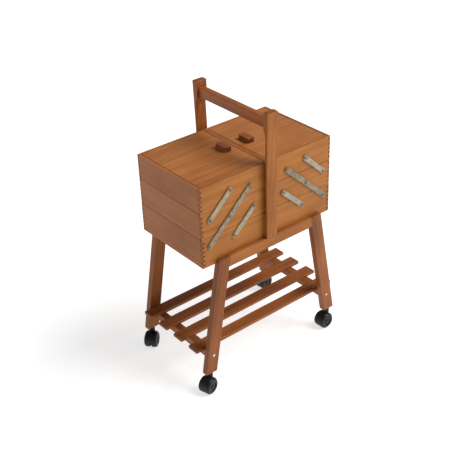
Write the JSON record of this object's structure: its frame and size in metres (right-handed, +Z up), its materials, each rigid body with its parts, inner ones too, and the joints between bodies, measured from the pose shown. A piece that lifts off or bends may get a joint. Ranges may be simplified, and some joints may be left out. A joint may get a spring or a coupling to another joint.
{
  "type": "sewing box",
  "caption": "Wooden cantilever sewing box with fold-out trays and hinged lids, carried on a splayed-leg stand with a handle bar, a slatted shelf and swivel casters.",
  "frame": {"origin": "on the floor, under the centre of the box", "axes": "+Z up; X along the box, the way the trays unfold (+X right); Y along the handle bar, with the front at -Y"},
  "size_m": [0.5068, 0.3146, 0.76],
  "materials": {
    "box_wood": "warm red-brown stained hardwood, satin lacquer",
    "lid_wood": "warm red-brown stained hardwood, satin lacquer, grain along the box",
    "floor_wood": "thin plywood, satin lacquer",
    "stand_wood": "red-brown stained hardwood, satin lacquer",
    "handle_wood": "red-brown stained hardwood, satin lacquer",
    "link_steel": "zinc-plated flat steel, slightly warm grey",
    "screw_steel": "zinc-plated screws and pins",
    "caster_plastic": "black moulded nylon",
    "wheel_plastic": "black moulded nylon wheel, slightly glossy"
  },
  "bodies": {
    "stand": {"front_left_leg": "stand_wood", "front_right_leg": "stand_wood", "rear_left_leg": "stand_wood", "rear_right_leg": "stand_wood", "front_rail": "stand_wood", "rear_rail": "stand_wood", "left_cross_rail": "stand_wood", "right_cross_rail": "stand_wood", "shelf_slat_rear": "stand_wood", "shelf_slat_mid_rear": "stand_wood", "shelf_slat_mid_front": "stand_wood", "shelf_slat_front": "stand_wood", "front_post": "handle_wood", "rear_post": "handle_wood", "handle_bar": "handle_wood", "bottom_box_front_wall": "box_wood", "bottom_box_rear_wall": "box_wood", "bottom_box_left_wall": "box_wood", "bottom_box_right_wall": "box_wood", "bottom_box_floor": "floor_wood", "bottom_box_pivots": "screw_steel", "stand_screws": "screw_steel", "caster_sockets": "screw_steel"},
    "left_long_arms": {"left_long_arms": "link_steel"},
    "left_inner_arms": {"left_inner_arms": "link_steel"},
    "left_outer_arms": {"left_outer_arms": "link_steel"},
    "left_middle_tray": {"left_middle_tray_side_walls": "box_wood", "left_middle_tray_end_walls": "box_wood", "left_middle_tray_floor": "floor_wood", "left_middle_tray_pivots": "screw_steel"},
    "left_top_tray": {"left_top_tray_side_walls": "box_wood", "left_top_tray_end_walls": "box_wood", "left_top_tray_floor": "floor_wood", "left_top_tray_pivots": "screw_steel", "left_lid_rest": "box_wood"},
    "left_lid": {"left_lid": "lid_wood", "left_lid_knob": "lid_wood"},
    "right_long_arms": {"right_long_arms": "link_steel"},
    "right_inner_arms": {"right_inner_arms": "link_steel"},
    "right_outer_arms": {"right_outer_arms": "link_steel"},
    "right_middle_tray": {"right_middle_tray_side_walls": "box_wood", "right_middle_tray_end_walls": "box_wood", "right_middle_tray_floor": "floor_wood", "right_middle_tray_pivots": "screw_steel"},
    "right_top_tray": {"right_top_tray_side_walls": "box_wood", "right_top_tray_end_walls": "box_wood", "right_top_tray_floor": "floor_wood", "right_top_tray_pivots": "screw_steel", "right_lid_rest": "box_wood"},
    "right_lid": {"right_lid": "lid_wood", "right_lid_knob": "lid_wood"},
    "front_left_caster_swivel": {"front_left_caster_swivel": "caster_plastic"},
    "front_left_caster_wheels": {"front_left_caster_wheels": "wheel_plastic"},
    "front_right_caster_swivel": {"front_right_caster_swivel": "caster_plastic"},
    "front_right_caster_wheels": {"front_right_caster_wheels": "wheel_plastic"},
    "rear_left_caster_swivel": {"rear_left_caster_swivel": "caster_plastic"},
    "rear_left_caster_wheels": {"rear_left_caster_wheels": "wheel_plastic"},
    "rear_right_caster_swivel": {"rear_right_caster_swivel": "caster_plastic"},
    "rear_right_caster_wheels": {"rear_right_caster_wheels": "wheel_plastic"}
  },
  "joints": [
    {"name": "left_unfold", "type": "hinge", "parent": "stand", "child": "left_long_arms", "pos_m": [-0.197, 0, 0.451], "axis": [0, -1, 0], "range_deg": [0, 94.4]},
    {"name": "left_middle_tray_level", "type": "hinge", "parent": "left_long_arms", "child": "left_middle_tray", "pos_m": [-0.13, 0, 0.513], "axis": [0, -1, 0], "range_deg": [-94.4, 0]},
    {"name": "left_top_tray_level", "type": "hinge", "parent": "left_long_arms", "child": "left_top_tray", "pos_m": [-0.063, 0, 0.575], "axis": [0, -1, 0], "range_deg": [-94.4, 0]},
    {"name": "left_inner_arm_turn", "type": "hinge", "parent": "stand", "child": "left_inner_arms", "pos_m": [-0.117, 0, 0.451], "axis": [0, -1, 0], "range_deg": [0, 94.4]},
    {"name": "left_outer_arm_turn", "type": "hinge", "parent": "left_middle_tray", "child": "left_outer_arms", "pos_m": [-0.194, 0, 0.525], "axis": [0, -1, 0], "range_deg": [0, 94.4]},
    {"name": "left_lid_hinge", "type": "hinge", "parent": "left_top_tray", "child": "left_lid", "pos_m": [-0.2082, 0, 0.617], "axis": [0, -1, 0], "range_deg": [0, 105]},
    {"name": "right_unfold", "type": "hinge", "parent": "stand", "child": "right_long_arms", "pos_m": [0.197, 0, 0.451], "axis": [0, 1, 0], "range_deg": [0, 94.4]},
    {"name": "right_middle_tray_level", "type": "hinge", "parent": "right_long_arms", "child": "right_middle_tray", "pos_m": [0.13, 0, 0.513], "axis": [0, 1, 0], "range_deg": [-94.4, 0]},
    {"name": "right_top_tray_level", "type": "hinge", "parent": "right_long_arms", "child": "right_top_tray", "pos_m": [0.063, 0, 0.575], "axis": [0, 1, 0], "range_deg": [-94.4, 0]},
    {"name": "right_inner_arm_turn", "type": "hinge", "parent": "stand", "child": "right_inner_arms", "pos_m": [0.117, 0, 0.451], "axis": [0, 1, 0], "range_deg": [0, 94.4]},
    {"name": "right_outer_arm_turn", "type": "hinge", "parent": "right_middle_tray", "child": "right_outer_arms", "pos_m": [0.194, 0, 0.525], "axis": [0, 1, 0], "range_deg": [0, 94.4]},
    {"name": "right_lid_hinge", "type": "hinge", "parent": "right_top_tray", "child": "right_lid", "pos_m": [0.2082, 0, 0.617], "axis": [0, 1, 0], "range_deg": [0, 105]},
    {"name": "front_left_swivel", "type": "hinge", "parent": "stand", "child": "front_left_caster_swivel", "pos_m": [-0.22, -0.135, 0.06], "axis": [0, 0, 1], "continuous": true},
    {"name": "front_left_wheel_spin", "type": "hinge", "parent": "front_left_caster_swivel", "child": "front_left_caster_wheels", "pos_m": [-0.23062, -0.13785, 0.0235], "axis": [0.2588, -0.9659, 0], "continuous": true},
    {"name": "front_right_swivel", "type": "hinge", "parent": "stand", "child": "front_right_caster_swivel", "pos_m": [0.22, -0.135, 0.06], "axis": [0, 0, 1], "continuous": true},
    {"name": "front_right_wheel_spin", "type": "hinge", "parent": "front_right_caster_swivel", "child": "front_right_caster_wheels", "pos_m": [0.209, -0.13519, 0.0235], "axis": [0.0175, -0.9998, 0], "continuous": true},
    {"name": "rear_left_swivel", "type": "hinge", "parent": "stand", "child": "rear_left_caster_swivel", "pos_m": [-0.22, 0.135, 0.06], "axis": [0, 0, 1], "continuous": true},
    {"name": "rear_left_wheel_spin", "type": "hinge", "parent": "rear_left_caster_swivel", "child": "rear_left_caster_wheels", "pos_m": [-0.22855, 0.12808, 0.0235], "axis": [0.6293, -0.7771, 0], "continuous": true},
    {"name": "rear_right_swivel", "type": "hinge", "parent": "stand", "child": "rear_right_caster_swivel", "pos_m": [0.22, 0.135, 0.06], "axis": [0, 0, 1], "continuous": true},
    {"name": "rear_right_wheel_spin", "type": "hinge", "parent": "rear_right_caster_swivel", "child": "rear_right_caster_wheels", "pos_m": [0.20904, 0.13404, 0.0235], "axis": [0.0872, -0.9962, 0], "continuous": true}
  ],
  "couplings": [
    {"joint": "left_middle_tray_level", "follows": "left_unfold", "ratio": -1},
    {"joint": "left_top_tray_level", "follows": "left_unfold", "ratio": -1},
    {"joint": "left_inner_arm_turn", "follows": "left_unfold", "ratio": 1},
    {"joint": "left_outer_arm_turn", "follows": "left_unfold", "ratio": 1},
    {"joint": "right_middle_tray_level", "follows": "right_unfold", "ratio": -1},
    {"joint": "right_top_tray_level", "follows": "right_unfold", "ratio": -1},
    {"joint": "right_inner_arm_turn", "follows": "right_unfold", "ratio": 1},
    {"joint": "right_outer_arm_turn", "follows": "right_unfold", "ratio": 1}
  ]
}
